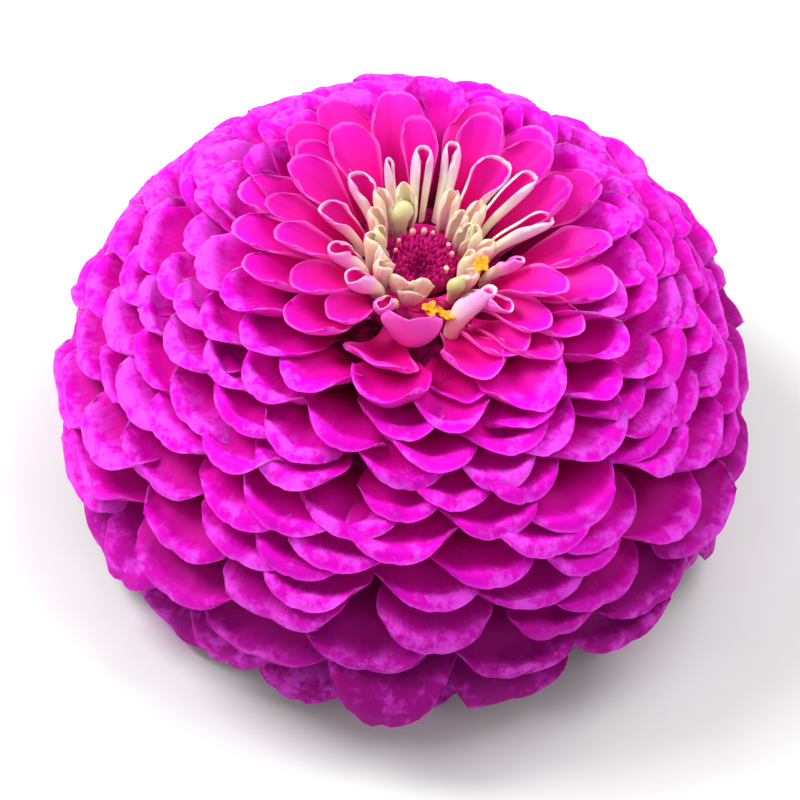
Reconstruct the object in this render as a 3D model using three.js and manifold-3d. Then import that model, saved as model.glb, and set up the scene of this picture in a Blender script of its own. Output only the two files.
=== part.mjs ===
// A double zinnia bloom, as picked: a dome of ray petals round a dark disc, on a green involucre and a short
// cut stem. Millimetres, +Z up. The origin is the middle of the stem's cut end, on the surface it stands on.
// The side that the photograph shows faces -Y.
import * as THREE from "three";
import { mergeVertices } from "three/addons/utils/BufferGeometryUtils.js";
import Module from "manifold-3d";

const wasm = await Module();
wasm.setup();

// Nodes that stand on each other keep this gap, and nothing reaches below the surface.
const GAP = 0.3;
const SURFACE_Z = 0;

const STEM = { radius: 2.7, flare: 0.25, length: 3.4, sides: 16 };

// The involucre's cup, [radius, height] from its neck to its rim, and the rows of scales raised from it.
const CUP = [[3, STEM.length + GAP], [6.2, 5.4], [8.6, 7.6], [10.1, 10.2], [10.5, 12.7]];
const SCALES = { perRow: 11, tips: [6, 8, 10, 11.7], scallop: 0.75, lift: 0.75, ledge: 0.05 };

// The dome that the outer petals' tips lie on: an ellipse turned about the axis. A tip's angle on it is
// top - even u - late u^power, where u is 0 for the highest petal and 1 for the lowest.
const DOME = { radius: 50, equatorZ: 12.5, rise: 44 };
const TIP_DEG = { top: 58, even: 50, late: 24.5, power: 5 };
const TIP_LIFT_DEG = 22; // how far a tip stands up from the dome
const OUTER_COUNT = 216;
const GOLDEN_TURN = Math.PI * (3 - Math.sqrt(5));
const FIRST_TURN = 0.35; // azimuth of the highest outer petal, radians
const PETAL = { thickness: 0.66, top: 9, even: 4, late: 3.2, lead: 1.3, arch: 0.9, spoon: -0.3, roll: 0.35 };

// Roots of the outer petals, [radius, height], and the angle they leave at: in the core from the highest to
// the last row above the skirt, then the skirt's own, which run in to the involucre.
const CORE_ROOTS = { first: [11.6, 39.2], last: [35.4, 19.8], leaveFirst: 66, leaveLast: 2 };
const SKIRT_ROOTS = { share: 0.88, radius: 11, firstZ: 16.4, lastZ: 14.1, leaveFirst: 6, leaveLast: -3 };

// The core that they stand out of, [radius, height] from the axis at the bottom to the axis on top. Its flat
// top carries the crown, the young rays and the disc.
const CORE_BOTTOM_Z = CUP.at(-1)[1] + GAP;
const DECK_Z = 41.5;
const LOW = DECK_Z + GAP;
const CORE_SIDES = 14;
const OUTER_CORE = [
  [0, CORE_BOTTOM_Z], [11.2, CORE_BOTTOM_Z], [12.6, 17.4], [33, 18.6], [38, 19.6], [38.6, 23],
  [36.4, 29], [31.5, 35], [24, 39.8], [15.5, DECK_Z], [0, DECK_Z],
];

// The disc, and the rings that the young rays and the crown grow from, one round the other.
const DISC = { radius: 5.2, height: 5.9, dip: 0.8, shoulder: 1.1, relief: 0.2, sectors: 18, rings: 4 };
const YOUNG_RING = { inner: 5.5, outer: 8, height: 3 };
const CROWN_RING = { inner: 8.3, outer: 11.3, height: 2.9 };
const RING_SIDES = 20;

// The crown's petals, ring by ring from the inside: azimuths in degrees, with one wide gap to the front.
const CROWN_RINGS = [
  {
    degrees: [12, 30, 46, 62, 89, 108, 127, 148, 170, 199, 222, 243, 278, 300, 320, 345],
    rootR: 9, rootZ: 44.2, tipR: 15, tipZ: 51.8, leave: 84, arrive: 44, width: 4.1, cup: 0.9,
  },
  {
    degrees: [21, 46, 71, 104, 131, 154, 172, 195, 220, 248, 287, 305, 326, 352],
    rootR: 9.9, rootZ: 43.6, tipR: 20.4, tipZ: 53.4, leave: 76, arrive: 28, width: 6.8, cup: 1,
  },
  {
    degrees: [8, 33, 57, 88, 117, 142, 164, 184, 208, 234, 261, 276, 298, 316, 339],
    rootR: 10.7, rootZ: 42.6, tipR: 24.8, tipZ: 51.8, leave: 58, arrive: 6, width: 8, cup: 0.5,
  },
];
const CROWN_LEAD = 0.9;
const CROWN_ROLL = 0.2;

// The young rays stand up and lean out by turns. The open yellow florets among them are given by their
// azimuth in degrees, distance from the axis and height.
const YOUNG = { count: 20, upR: 6.9, upZ: 49.6, outR: 9, outZ: 51 };
const OPEN_FLORETS = [[-84, 9.7, 48.6], [-66, 9.9, 48.4], [-6, 8.2, 49.6]];
const LOBES = { count: 5, tip: 1.2, notch: 0.5, thickness: 0.6 };
const BEAD_COUNT = 11;
const BUD_SIDES = 5;

const radians = (deg) => (deg * Math.PI) / 180;
const mix = (a, b, t) => a + (b - a) * t;

// A repeatable draw from -1 to 1 for piece number i.
function draw(i, kind) {
  const x = Math.sin(i * 12.9898 + kind * 78.233) * 43758.5453;
  return 2 * (x - Math.floor(x)) - 1;
}

function solid(geometry) {
  const bare = new THREE.BufferGeometry().setAttribute("position", geometry.getAttribute("position"));
  bare.setIndex(geometry.getIndex());
  const merged = mergeVertices(bare, 1e-4);
  const vertProperties = new Float32Array(merged.getAttribute("position").array);
  const triVerts = new Uint32Array(merged.index.array);
  return new wasm.Manifold(new wasm.Mesh({ numProp: 3, vertProperties, triVerts }));
}

function fuse(solids) {
  let row = solids;
  while (row.length > 1) {
    const next = [];
    for (let i = 0; i < row.length; i += 2) next.push(i + 1 < row.length ? row[i].add(row[i + 1]) : row[i]);
    row = next;
  }
  return row[0];
}

// A turned body from its outline, [radius, height] from the axis at the bottom to the axis at the top.
function turned(outline, sides) {
  const points = outline.map(([r, z]) => new THREE.Vector2(r, z));
  return solid(new THREE.LatheGeometry(points, sides).rotateX(Math.PI / 2));
}

// A plain ring round the axis that stands on the core's flat top.
function ringOnDeck({ inner, outer, height }) {
  const top = LOW + height;
  return turned([[inner, LOW], [outer, LOW], [outer, top], [inner, top], [inner, LOW]], RING_SIDES);
}

// A closed skin over rows of points, each row once round the piece, with both ends filled.
function skin(rows) {
  const across = rows[0].length;
  const faces = [];
  for (let i = 0; i + 1 < rows.length; i++)
    for (let j = 0; j < across; j++) {
      const a = i * across + j;
      const b = i * across + ((j + 1) % across);
      faces.push(a, b, a + across, b, b + across, a + across);
    }
  const end = (rows.length - 1) * across;
  for (let j = 1; j + 1 < across; j++) faces.push(0, j + 1, j, end, end + j, end + j + 1);
  const geometry = new THREE.BufferGeometry();
  geometry.setAttribute("position", new THREE.BufferAttribute(new Float32Array(rows.flat(2)), 3));
  geometry.setIndex(faces);
  return solid(geometry);
}

// A line in the plane of one azimuth, [radius, height], that leaves and arrives at given angles.
function rib(root, tip, leave, arrive) {
  const reach = Math.hypot(tip[0] - root[0], tip[1] - root[1]) * 0.37;
  return new THREE.CubicBezierCurve(
    new THREE.Vector2(...root),
    new THREE.Vector2(root[0] + reach * Math.cos(leave), root[1] + reach * Math.sin(leave)),
    new THREE.Vector2(tip[0] - reach * Math.cos(arrive), tip[1] - reach * Math.sin(arrive)),
    new THREE.Vector2(...tip),
  );
}

// A blade along a midrib. Stations are [place along it, share of the full width]. The sides lie below the
// midrib by arch, over a flat underside, or above it where arch is negative, as in a spoon. Roll lowers one
// side, and lead rounds the tip.
function blade({ midrib, azimuth, width, arch, roll, stations, lead }) {
  const last = stations.length - 1;
  const rows = stations.map(([s, share], k) => {
    const centre = midrib.getPoint(s);
    const along = midrib.getTangent(s);
    const place = (side, layer) => {
      const lift = -layer * PETAL.thickness - arch * (side * share) ** 2 - roll * side * share;
      const ahead = k === last && side === 0 ? lead : 0;
      const r = centre.x - along.y * lift + along.x * ahead;
      const z = centre.y + along.x * lift + along.y * ahead;
      const turn = azimuth + (side * share * width) / 2 / r;
      return [r * Math.cos(turn), r * Math.sin(turn), Math.max(z, SURFACE_Z)];
    };
    const under = arch > 0 ? [place(-1, 1), place(1, 1)] : [place(-1, 1), place(0, 1), place(1, 1)];
    return [...under, place(1, 0), place(0, 0), place(-1, 0)];
  });
  return skin(rows);
}

// A bud: a bent tube with flat ends. Stations are [place along it, radius].
function bud(line, azimuth, stations) {
  const rows = stations.map(([s, radius]) => {
    const centre = line.getPoint(s);
    const along = line.getTangent(s);
    return Array.from({ length: BUD_SIDES }, (_, k) => {
      const a = (2 * Math.PI * k) / BUD_SIDES;
      const r = centre.x - along.y * radius * Math.sin(a);
      const y = radius * Math.cos(a);
      const z = centre.y + along.x * radius * Math.sin(a);
      const [c, d] = [Math.cos(azimuth), Math.sin(azimuth)];
      return [r * c - y * d, r * d + y * c, z];
    });
  });
  return skin(rows);
}

// Where an outer petal has its tip, on the dome, and its root, in the core or by the involucre.
function outerMidrib(i, u) {
  const t = radians(TIP_DEG.top - TIP_DEG.even * u - TIP_DEG.late * u ** TIP_DEG.power + 1.3 * draw(i, 1));
  const size = 1 + 0.016 * draw(i, 2);
  const tip = [DOME.radius * Math.cos(t) * size, DOME.equatorZ + DOME.rise * Math.sin(t) * size];
  const slope = Math.atan2(DOME.rise * Math.cos(t), DOME.radius * Math.sin(t));
  const arrive = radians(TIP_LIFT_DEG) - slope;
  if (u > SKIRT_ROOTS.share) {
    const { share, radius, firstZ, lastZ, leaveFirst, leaveLast } = SKIRT_ROOTS;
    const v = (u - share) / (1 - share);
    return rib([radius, mix(firstZ, lastZ, v)], tip, radians(mix(leaveFirst, leaveLast, v)), arrive);
  }
  const { first, last, leaveFirst, leaveLast } = CORE_ROOTS;
  const v = u / SKIRT_ROOTS.share;
  const root = [mix(first[0], last[0], v ** 0.8), mix(first[1], last[1], v ** 1.5)];
  return rib(root, tip, radians(mix(leaveFirst, leaveLast, v ** 0.75)), arrive);
}

function outerPetal(i) {
  const u = (i + 0.5) / OUTER_COUNT;
  const skirt = u > SKIRT_ROOTS.share;
  return blade({
    midrib: outerMidrib(i, u),
    azimuth: FIRST_TURN + i * GOLDEN_TURN + 0.05 * draw(i, 3),
    width: (PETAL.top + PETAL.even * u + PETAL.late * u ** 4) * (1 + 0.05 * draw(i, 4)),
    arch: mix(PETAL.spoon, PETAL.arch, Math.min(u * 2.5, 1)),
    roll: PETAL.roll * draw(i, 12),
    stations: skirt ? [[0, 0.3], [0.45, 0.7], [0.8, 1], [1, 0.6]] : [[0.1, 0.4], [0.76, 1], [1, 0.6]],
    lead: PETAL.lead,
  });
}

function outerPetals() {
  const core = turned(OUTER_CORE, CORE_SIDES);
  return fuse([core, ...Array.from({ length: OUTER_COUNT }, (_, i) => outerPetal(i))]);
}

// Neighbours in a ring of the crown stand one a little behind the other.
function crownPetal(row, i) {
  const n = 20 * CROWN_RINGS.indexOf(row) + i;
  const step = i % 2 ? 0.5 : -0.5;
  const tip = [row.tipR + 1.2 * step + 0.3 * draw(n, 5), row.tipZ - step + 0.3 * draw(n, 6)];
  return blade({
    midrib: rib([row.rootR + 0.3 * step, row.rootZ], tip, radians(row.leave), radians(row.arrive)),
    azimuth: radians(row.degrees[i]),
    width: row.width * (1 + 0.08 * draw(n, 7)),
    arch: -row.cup,
    roll: CROWN_ROLL,
    stations: [[0, 0.4], [0.78, 1], [1, 0.62]],
    lead: CROWN_LEAD,
  });
}

function crownPetals() {
  const petals = CROWN_RINGS.flatMap((row) => row.degrees.map((_, i) => crownPetal(row, i)));
  return fuse([ringOnDeck(CROWN_RING), ...petals]);
}

// The young rays: cream and green clubs round the disc, with open florets among them.
function youngRays() {
  const rootZ = LOW + YOUNG_RING.height - 1;
  const clubs = Array.from({ length: YOUNG.count }, (_, i) => {
    const out = i % 2;
    const azimuth = (2 * Math.PI * (i + 0.2 * draw(i, 8))) / YOUNG.count;
    const tip = [out ? YOUNG.outR : YOUNG.upR, (out ? YOUNG.outZ : YOUNG.upZ) + 0.8 * draw(i, 9)];
    const root = [YOUNG_RING.inner + (out ? 1.6 : 0.8), rootZ];
    const line = rib(root, tip, radians(86), radians(out ? 60 : 96));
    return bud(line, azimuth, [[0, 0.6], [0.75, 0.95], [1, 0.45]]);
  });
  return fuse([ringOnDeck(YOUNG_RING), ...clubs, ...OPEN_FLORETS.map(openFloret)]);
}

// An open disc floret: a tube that leans out of the ring, with spread lobes.
function openFloret([deg, r, z]) {
  const star = new THREE.Shape();
  star.moveTo(LOBES.tip, 0);
  for (let k = 1; k < 2 * LOBES.count; k++) {
    const radius = k % 2 ? LOBES.notch : LOBES.tip;
    const a = (Math.PI * k) / LOBES.count;
    star.lineTo(radius * Math.cos(a), radius * Math.sin(a));
  }
  const plate = new THREE.ExtrudeGeometry(star, { depth: LOBES.thickness, bevelEnabled: false });
  const azimuth = radians(deg);
  plate.translate(r * Math.cos(azimuth), r * Math.sin(azimuth), z);
  const root = [YOUNG_RING.outer - 1, LOW + YOUNG_RING.height - 1];
  const tube = bud(rib(root, [r, z + 0.2], radians(70), radians(85)), azimuth, [[0, 0.5], [1, 0.42]]);
  return solid(plate).add(tube);
}

// The disc: a low dome of packed florets as relief, with a ring of small pale buds on its rim.
function disc() {
  const { radius, height, dip, shoulder, relief, sectors, rings } = DISC;
  const rowAt = (r, z, bump) =>
    Array.from({ length: sectors }, (_, k) => {
      const a = (2 * Math.PI * k) / sectors;
      return [r * Math.cos(a), r * Math.sin(a), z + bump * (k % 2 ? 1 : -1)];
    });
  const top = LOW + height;
  const rows = [rowAt(radius, LOW, 0), rowAt(radius, top - shoulder, 0)];
  for (let k = 0; k < rings; k++) {
    const share = 1 - (k + 0.7) / (rings + 0.3);
    const z = top - shoulder * share ** 4 - dip * (1 - share) ** 2;
    rows.push(rowAt(radius * share, z, k % 2 ? relief : -relief));
  }
  const beads = Array.from({ length: BEAD_COUNT }, (_, i) => {
    const azimuth = (2 * Math.PI * (i + 0.3 * draw(i, 10))) / BEAD_COUNT;
    const tip = [radius - 0.75, top + 0.5 + 0.2 * draw(i, 11)];
    const line = rib([radius - 0.8, top - 2.2], tip, radians(88), radians(92));
    return bud(line, azimuth, [[0, 0.3], [0.8, 0.46], [1, 0.25]]);
  });
  return fuse([skin(rows), ...beads]);
}

// The cup's radius at a height.
function cupRadius(z) {
  const k = CUP.findIndex(([, top], i) => i > 0 && z <= top);
  const [[r0, z0], [r1, z1]] = [CUP[k - 1], CUP[k]];
  return mix(r0, r1, (z - z0) / (z1 - z0));
}

// The involucre: a cup whose rows of scales are raised from it, each row's tips over the notches of the next.
function involucre() {
  const sectors = 2 * SCALES.perRow;
  const rowAt = (height, lift, scallop) =>
    Array.from({ length: sectors }, (_, j) => {
      const z = height + (j % 2 ? scallop : -scallop);
      const a = (2 * Math.PI * j) / sectors;
      const r = cupRadius(z) + lift;
      return [r * Math.cos(a), r * Math.sin(a), z];
    });
  const rows = [rowAt(CUP[0][1], 0, 0)];
  SCALES.tips.forEach((height, k) => {
    const scallop = k % 2 ? SCALES.scallop : -SCALES.scallop;
    rows.push(rowAt(height, SCALES.lift, scallop), rowAt(height + SCALES.ledge, 0, scallop));
  });
  rows.push(rowAt(CUP.at(-1)[1], 0, 0));
  return skin(rows);
}

function stem() {
  const { radius, flare, length, sides } = STEM;
  return turned([[0, SURFACE_Z], [radius, SURFACE_Z], [radius + flare, length], [0, length]], sides);
}

function node(name, shape, color, roughness) {
  const mesh = shape.getMesh();
  const geometry = new THREE.BufferGeometry();
  geometry.setAttribute("position", new THREE.BufferAttribute(mesh.vertProperties, 3));
  geometry.setIndex(new THREE.BufferAttribute(mesh.triVerts, 1));
  geometry.computeVertexNormals();
  const piece = new THREE.Mesh(geometry, new THREE.MeshStandardMaterial({ color, roughness, metalness: 0 }));
  piece.name = name;
  return piece;
}

const bloom = new THREE.Group();
bloom.add(
  node("stem", stem(), 0x6f8f3a, 0.6),
  node("involucre", involucre(), 0x5f7f35, 0.6),
  node("outer_petals", outerPetals(), 0xd416b4, 0.55),
  node("crown_petals", crownPetals(), 0xe83fae, 0.5),
  node("young_rays", youngRays(), 0xe3dca0, 0.5),
  node("disc", disc(), 0x8c0f55, 0.7),
);

export default bloom;
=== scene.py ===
"""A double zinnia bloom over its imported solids: ray petals in a dome, an upright crown, cream young rays
round a dark disc, and a green involucre on a short cut stem. Metres, +Z up, in the frame of the solids."""
import math
from typing import NamedTuple

import bpy
import numpy as np
from bpy.props import FloatProperty, FloatVectorProperty, PointerProperty
from mathutils import Matrix, Vector


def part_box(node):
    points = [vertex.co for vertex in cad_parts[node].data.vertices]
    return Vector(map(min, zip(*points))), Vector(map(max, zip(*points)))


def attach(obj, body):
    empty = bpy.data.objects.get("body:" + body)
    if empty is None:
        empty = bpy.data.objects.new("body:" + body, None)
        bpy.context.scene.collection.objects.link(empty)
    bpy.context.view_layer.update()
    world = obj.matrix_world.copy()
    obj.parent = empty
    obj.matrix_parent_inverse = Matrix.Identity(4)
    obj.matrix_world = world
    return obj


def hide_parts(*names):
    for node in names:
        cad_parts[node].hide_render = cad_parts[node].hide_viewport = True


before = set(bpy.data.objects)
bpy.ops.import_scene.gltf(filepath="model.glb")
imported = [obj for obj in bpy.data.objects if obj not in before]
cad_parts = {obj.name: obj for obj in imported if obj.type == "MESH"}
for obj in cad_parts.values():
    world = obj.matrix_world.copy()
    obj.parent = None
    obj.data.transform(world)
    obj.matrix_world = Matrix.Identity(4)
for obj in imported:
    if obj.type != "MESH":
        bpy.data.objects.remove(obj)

bl_info = {
    "name": "Zinnia bloom",
    "version": (1, 0, 0),
    "blender": (4, 5, 0),
    "location": "3D View > Sidebar > Zinnia",
    "description": "A double zinnia bloom modelled over its solid frame",
    "category": "Add Mesh",
}

MM = 0.001
BODY = "root"
DEGREE = math.radians(1)
GOLDEN_TURN = math.pi * (3 - math.sqrt(5))

# Height of the deck under the disc, just below its solid.
DECK_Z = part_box("disc")[0][2] - 0.3 * MM

# The outer petals, as in the solids: tips on an ellipse turned about the axis, roots in the core or, for the
# skirt, in a ring under it. A tip's angle on the ellipse is top - even u - late u^power, where u runs from 0,
# the highest petal, to 1, the lowest.
OUTER_COUNT = 216
TIERS = 6
FIRST_TURN = 0.35
TIP_TOP, TIP_EVEN, TIP_LATE, TIP_POWER = 58, 50, 24.5, 5
CORE_FIRST, CORE_LAST = (11.6 * MM, 39.2 * MM), (35.4 * MM, 19.8 * MM)
CORE_LEAVE = (66, 2)
SKIRT_SHARE = 0.88
SKIRT_RADIUS, SKIRT_FIRST_Z, SKIRT_LAST_Z = 11 * MM, 16.4 * MM, 14.1 * MM
SKIRT_LEAVE = (6, -3)
LIT_SIDE, LIT_SHARE = 186 * DEGREE, 0.2  # the lit side, where the skirt's petals are painted lighter as light falls there, and by how much: painted light
BLADE_BREADTH = 1.28  # of an outer petal, against its strip in the solids

# Petals that stand out of their places, by number: millimetres that they are shorter than their neighbours.
SHORTER_PETALS = {
    2: 5.6, 7: -1, 15: 0.6, 16: 1, 20: 0.6, 28: 0.4, 36: 0.4, 45: 0.4, 48: 0.6, 61: 1.8, 69: 0.5, 71: 0.3,
    74: 0.5, 79: 0.7, 82: 0.5, 84: -0.2, 87: 0.9, 90: 1.5, 95: 1.5, 97: -1, 98: 0.7, 103: 1.8, 105: 1.1,
    111: 1, 116: 0.6, 124: 1.4, 131: -2.6, 137: 1.5, 145: 1.6, 149: 0.8, 152: -1.9, 153: 1.4, 158: 2,
    162: -1.7, 165: -0.6, 166: 2, 170: -0.4, 174: 0.6, 175: 1.2, 178: 2.7, 179: 0.9, 182: 1.9, 183: 2.3,
    187: 2.8, 188: 0.3, 190: -1, 193: -3.8, 195: 2.4, 196: 2.2, 198: 0.9, 201: -0.5, 203: 0.5, 204: -1.1,
    206: 2.4, 208: 3, 209: 2.2, 211: 1.1, 214: 3.3,
}
# Degrees that some are turned round the axis and raised.
TURNED_PETALS = {
    2: (-3, 21), 7: (10, 30), 15: (3, 2), 20: (-4, 0), 28: (-5.5, 0), 36: (5, -2), 144: (4, 0), 157: (1.5, 0),
    170: (-7, 0), 174: (7, 0), 188: (14, 0), 190: (1, 0), 193: (0.5, 0), 198: (1, 0), 201: (4.5, 0),
    206: (-2.5, 0), 211: (0.6, 0), 214: (-11, 0),
}

# The core under the petals, a little inside the solid one, and the rings under the crown and the young rays:
# (radius, height) in millimetres.
CORE_OUTLINE = (
    (6, 13.2), (10.8, 13.3), (12, 17.6), (32, 19), (36.6, 20.2), (37, 23), (34.8, 28.6), (30, 34.2),
    (23, 38.8), (15, 40.9), (11.4, 41.4),
)
CROWN_BED = ((8.5, 41.9), (11.1, 41.9), (11.3, 43.4), (10.4, 44.6), (9, 44.8), (8.3, 43.6))
YOUNG_BED = ((5.6, 41.9), (7.9, 41.9), (8, 43.8), (7.4, 44.6), (6.2, 44.6), (5.5, 43.8))
ROUND, SMALL_ROUND = 48, 40  # sides of the round bodies

# The crown's rings from the inside, with one wide gap to the front: degrees round the axis, millimetres, and
# radians for furl, curl and sway. "own" gives single petals, by their degrees, what differs on them.
CROWN_RINGS = (
    dict(
        name="crown_quills",
        degrees=(17, 40, 59, 82, 102, 124, 145, 174, 206, 231, 249, 299, 322, 350),
        root=(9, 44.2), tip=(14.4, 52), leave=84, arrive=60, width=5.6, furl=(5.4, 4),
        own={
            17: dict(tip=(17, 51.4), arrive=44, furl=(5.6, 4.7), white=1),
            40: dict(tip=(17.2, 52.8), arrive=48, furl=(5.6, 4.7), white=1),
            59: dict(tip=(15.8, 53), arrive=56, width=6.8, furl=(4.8, 3.2), white=0.4),
            82: dict(tip=(14.8, 52.8), arrive=66, width=5, furl=(5.8, 5.2), white=0.65),
            102: dict(tip=(13.4, 52.6), arrive=70, furl=(5.8, 5.6), white=0.6),
            124: dict(tip=(12.8, 52), arrive=68, width=2.6, furl=(5.8, 5.8), white=0.6),
            145: dict(tip=(13.4, 51.2), furl=(5.6, 5.1), white=0.5),
            174: dict(tip=(14, 51.4), width=6, furl=(4.8, 3.6)),
            206: dict(tip=(13.6, 50.8), arrive=64, furl=(4.8, 4.2), white=0.4),
            231: dict(tip=(13.4, 50.4), arrive=66, width=6, furl=(4.8, 4.4), white=0.4),
            249: dict(tip=(13.4, 48.8), arrive=70, width=5, furl=(5.4, 5.4)),
            299: dict(root=(12, 42.8), tip=(13.2, 50.2), leave=86, arrive=88, width=5.2, furl=(3.4, 4.6),
                      sway=0.36, white=0.4),
            322: dict(tip=(15.6, 49.8), arrive=46),
            350: dict(tip=(13.2, 50.6), arrive=64, width=3.4, furl=(5.8, 5.6)),
        },
    ),
    dict(
        name="crown_spoons",
        degrees=(28, 50, 71, 100, 135, 149, 163, 180, 198, 218, 238, 271, 310, 326, 342),
        root=(10.3, 43.6), tip=(20.9, 52.9), leave=66, arrive=38, width=8, furl=(2.4, 1.7),
        own={
            50: dict(tip=(21, 54), width=8.8),
            71: dict(tip=(20.8, 53.9)),
            100: dict(tip=(18.6, 53.2), width=6.4, furl=(2.8, 2)),
            135: dict(tip=(20.2, 52.6), width=7.6),
            149: dict(tip=(21.6, 52), width=7.2),
            163: dict(tip=(20.4, 53.3), width=7),
            180: dict(tip=(21.8, 52), width=6.4, furl=(2.8, 2)),
            198: dict(tip=(20.2, 53.2), width=7),
            218: dict(tip=(20.2, 51.6)),
            238: dict(tip=(19.2, 50), arrive=40, width=7),
            271: dict(root=(10.4, 42.2), tip=(15, 50.6), leave=-14, arrive=94, width=10.4, furl=(2, 2.1),
                      curl=0.6, white=1),
            310: dict(root=(10.6, 42.8), tip=(21.4, 48.6), leave=20, arrive=30, width=8.6, furl=(2.4, 1.4)),
            326: dict(tip=(21.6, 51), width=7.2),
            342: dict(tip=(20.4, 53.4), width=7.2),
        },
    ),
    dict(
        name="crown_tongues",
        degrees=(8, 33, 57, 80, 110, 127, 144, 170, 189, 208, 232, 260, 300, 319, 334, 350),
        root=(11, 42.5), tip=(25.4, 51.1), leave=38, arrive=22, width=9, furl=(1.8, 1.2),
        own={
            8: dict(tip=(24.8, 51.6), width=8),
            189: dict(tip=(25.8, 50.4), width=8),
            208: dict(arrive=32),
            232: dict(tip=(24.2, 50), arrive=34),
            260: dict(tip=(22.4, 49.4), leave=-14, arrive=70, width=10.6, furl=(1, 0.4), curl=1.5,
                      curl_from=0.86),
            300: dict(root=(11, 42.6), tip=(23, 48), leave=6, arrive=36, width=10.6, furl=(2, 2.3)),
            319: dict(tip=(25.4, 49.6)),
            334: dict(tip=(25.2, 50.4), width=8),
        },
    ),
)
CROWN_DRAWS = 20  # numbers set apart for each ring's draws

# Young rays: kind, degrees, radius and height of the tip, width, furl at the tip, green share, pink share.
# Those with tips within YOUNG_INSIDE of the axis stand in the inner row.
YOUNG_RAYS = (
    ("leaf", 5, 9.4, 50.2, 3.2, 5, 0, 1), ("leaf", 20, 7.6, 50.4, 3.2, 4.4, 0.3, 0.4),
    ("pointed", 36, 6.8, 50.2, 3.2, 3.4, 0.4, 0.4), ("leaf", 40, 9.6, 51.6, 3.8, 4.8, 0.1, 0.9),
    ("leaf", 54, 7.4, 50.2, 3, 4.8, 0.2, 0.6), ("leaf", 71, 8.6, 51.6, 3.6, 5.3, 0, 1),
    ("pointed", 118, 8.8, 51.8, 3.8, 3.6, 0.3, 0.3), ("bulb", 127, 6.8, 49.8, 4, 0, 0.75, 0.1),
    ("leaf", 143, 9.8, 51.6, 3.6, 5, 0.1, 0.9), ("leaf", 160, 8.6, 51, 3.4, 4.6, 0.2, 0.8),
    ("leaf", 179, 6.8, 50.4, 3.4, 4.4, 0.4, 0.4), ("leaf", 193, 8.2, 50.4, 3.8, 4.6, 0.2, 0.7),
    ("pointed", 208, 6.6, 49.8, 4.4, 3, 0.1, 1), ("leaf", 222, 8.2, 49.6, 3.6, 4.2, 0, 1),
    ("pointed", 244, 7.2, 48.9, 4.9, 1, 0.1, 0.5), ("pointed", 262, 7.6, 47.2, 4.4, 1, 0, 1),
    ("pointed", 271, 6.7, 49.3, 3.9, 1.3, 0.1, 0.4), ("bulb", 311, 8, 49.4, 2.8, 0, 1, 0.1),
    ("leaf", 329, 9, 49.6, 3.6, 4.4, 0.1, 0.8), ("leaf", 345, 6.8, 50, 3.4, 4.8, 0.3, 0.3),
)
YOUNG_INSIDE, YOUNG_INNER_ROOT, YOUNG_OUTER_ROOT, YOUNG_ROOT_Z = 7.5, 6.2, 7.1, 43.8
OPEN_FLORETS = ((281, 10.6, 47.4), (294, 11.6, 46.8), (338, 8.6, 50))  # degrees, radius, height
OPEN_ROOT, LOBES = 7, 5
DISC_RADIUS, DISC_TOP = 4.75 * MM, 47.7 * MM
DISC_PIT, PIT_X, PIT_Y, PIT_RADIUS = 2.4 * MM, -0.1 * MM, -2.1 * MM, 1.6 * MM  # how deep, where and how wide
DISC_FLORETS = 280
BEADS = (10, 36, 78, 97, 121, 160, 184, 330)  # degrees of the pale buds on its rim
BEAD_RING, BEAD_ROOT_Z, BEAD_TOP = 3.9, 45.5, 47.3

# The involucre's cup, (radius, height), the rows of scales on it, and the stem, in millimetres.
CUP = ((3, 3.7), (6.2, 5.4), (8.6, 7.6), (10.1, 10.2), (10.5, 12.7))
SCALE_ROWS = ((3.75, 6.2), (4.4, 8.1), (6.2, 10.1), (8.2, 11.7))  # from root to tip
SCALES_PER_ROW = 11
STEM_RADIUS, STEM_LENGTH, STEM_RIBS = 2.7, 3.4, 9

SMOOTH_ANGLE = 50 * DEGREE
HANDLE = 0.37  # how far a midrib's handles reach, as a share of the way
RIB_STEPS = 40
FREE_FROM, FREE_TO = 0.35, 0.8  # along a petal, where it comes free of the others and takes its own bends
RIM_SHARE, RIM_WIDTH = 0.22, 1.2 * MM  # a petal's thickness at its rim, as a share, and how far in it thins
LIP_WIDTH = 2.2 * MM  # of a petal's margin that turns down
DISH_AT, DISH_LENGTH = 0.74, 0.13  # where a petal's hollow lies, as shares of its length
CROWN_SEED, YOUNG_SEED, SCALE_SEED, LOBE_SEED = 300, 400, 500, 700  # first number for each kind's draws
SENSOR_WIDTH = 36
FLOOR_SIDE = 6


def srgb(red, green, blue):
    """A colour as the screen shows it, 0 to 255, made linear."""
    parts = (c / 255 for c in (red, green, blue))
    return tuple(c / 12.92 if c <= 0.04045 else ((c + 0.055) / 1.055) ** 2.4 for c in parts)


def colour(label, description, *screen):
    return FloatVectorProperty(
        name=label, description=description, default=srgb(*screen), subtype="COLOR", size=3, min=0, max=1
    )


def length(label, description, default):
    return FloatProperty(name=label, description=description, default=default, unit="LENGTH", precision=5)


def angle(label, description, degrees):
    return FloatProperty(name=label, description=description, default=math.radians(degrees), subtype="ANGLE")


def share(label, description, default):
    return FloatProperty(name=label, description=description, default=default, subtype="FACTOR", min=0, max=1)


def power(label, description, default):
    return FloatProperty(name=label, description=description, default=default, unit="POWER")


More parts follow.
